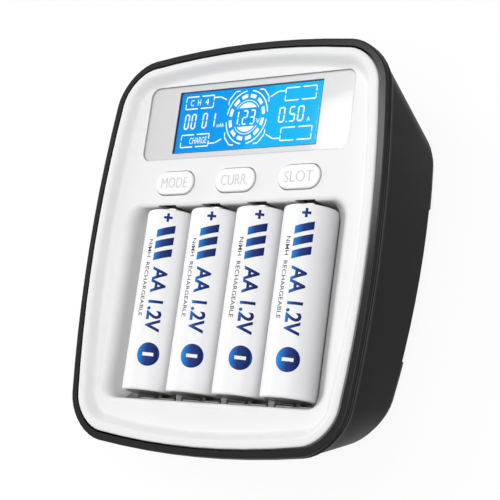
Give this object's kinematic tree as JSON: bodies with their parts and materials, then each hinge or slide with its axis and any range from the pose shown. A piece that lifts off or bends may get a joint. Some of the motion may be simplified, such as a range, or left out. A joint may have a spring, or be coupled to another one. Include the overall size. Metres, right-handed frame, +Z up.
{
  "type": "battery charger",
  "caption": "Desktop charger for round cells: white dished front with bays, a lit display and push buttons, in a black wedge-shaped case on rubber feet",
  "frame": {"origin": "middle of the overall box in X and Y, on the surface that the rubber feet stand on", "axes": "+X across the face to the right, +Y towards the display end, +Z up"},
  "size_m": [0.094, 0.11, 0.0381],
  "materials": {
    "white_shell": "satin white moulded plastic",
    "black_shell": "fine grained black moulded plastic",
    "lens": "clear glossy acrylic",
    "mask_white": "white painted film",
    "display_glass": "blue backlit display",
    "light_guide": "milky",
    "circuit_board": "green solder mask",
    "black_insulator": "plain black",
    "button_white": "satin white with grey legend",
    "cell_sleeve": "glossy printed sleeve",
    "contact_metal": "nickel plated",
    "screw_steel": "zinc plated",
    "capacitor_can": "sleeved can",
    "foot_rubber": "soft matt rubber"
  },
  "bodies": {
    "root": {"front_cover": "white_shell", "rear_housing": "black_shell", "display_lens": "lens", "display_mask": "mask_white", "lcd_panel": "display_glass", "backlight": "light_guide", "display_board": "circuit_board", "main_board": "circuit_board", "board_link": "black_insulator", "dc_jack": "black_insulator", "dc_jack_pin": "contact_metal", "case_screws": "screw_steel", "display_board_screws": "screw_steel", "main_board_screws": "screw_steel", "control_chip": "black_insulator", "charge_transistors": "black_insulator", "power_inductor": "black_insulator", "filter_capacitors": "capacitor_can", "mode_switch": "black_insulator", "current_switch": "black_insulator", "slot_switch": "black_insulator", "cell_1": "cell_sleeve", "cell_2": "cell_sleeve", "cell_3": "cell_sleeve", "cell_4": "cell_sleeve", "positive_contact_1": "contact_metal", "positive_contact_2": "contact_metal", "positive_contact_3": "contact_metal", "positive_contact_4": "contact_metal", "negative_contact_1": "contact_metal", "negative_contact_2": "contact_metal", "negative_contact_3": "contact_metal", "negative_contact_4": "contact_metal", "foot_1": "foot_rubber", "foot_2": "foot_rubber", "foot_3": "foot_rubber", "foot_4": "foot_rubber"},
    "mode_push": {"mode_button": "button_white", "mode_plunger": "black_insulator"},
    "current_push": {"current_button": "button_white", "current_plunger": "black_insulator"},
    "slot_push": {"slot_button": "button_white", "slot_plunger": "black_insulator"}
  },
  "joints": [
    {"name": "mode_press", "type": "slide", "parent": "root", "child": "mode_push", "axis": [0, 0.1045, -0.9945], "range_m": [0, 0.0005], "stiffness_N_per_m": 1500},
    {"name": "current_press", "type": "slide", "parent": "root", "child": "current_push", "axis": [0, 0.1045, -0.9945], "range_m": [0, 0.0005], "stiffness_N_per_m": 1500},
    {"name": "slot_press", "type": "slide", "parent": "root", "child": "slot_push", "axis": [0, 0.1045, -0.9945], "range_m": [0, 0.0005], "stiffness_N_per_m": 1500}
  ]
}
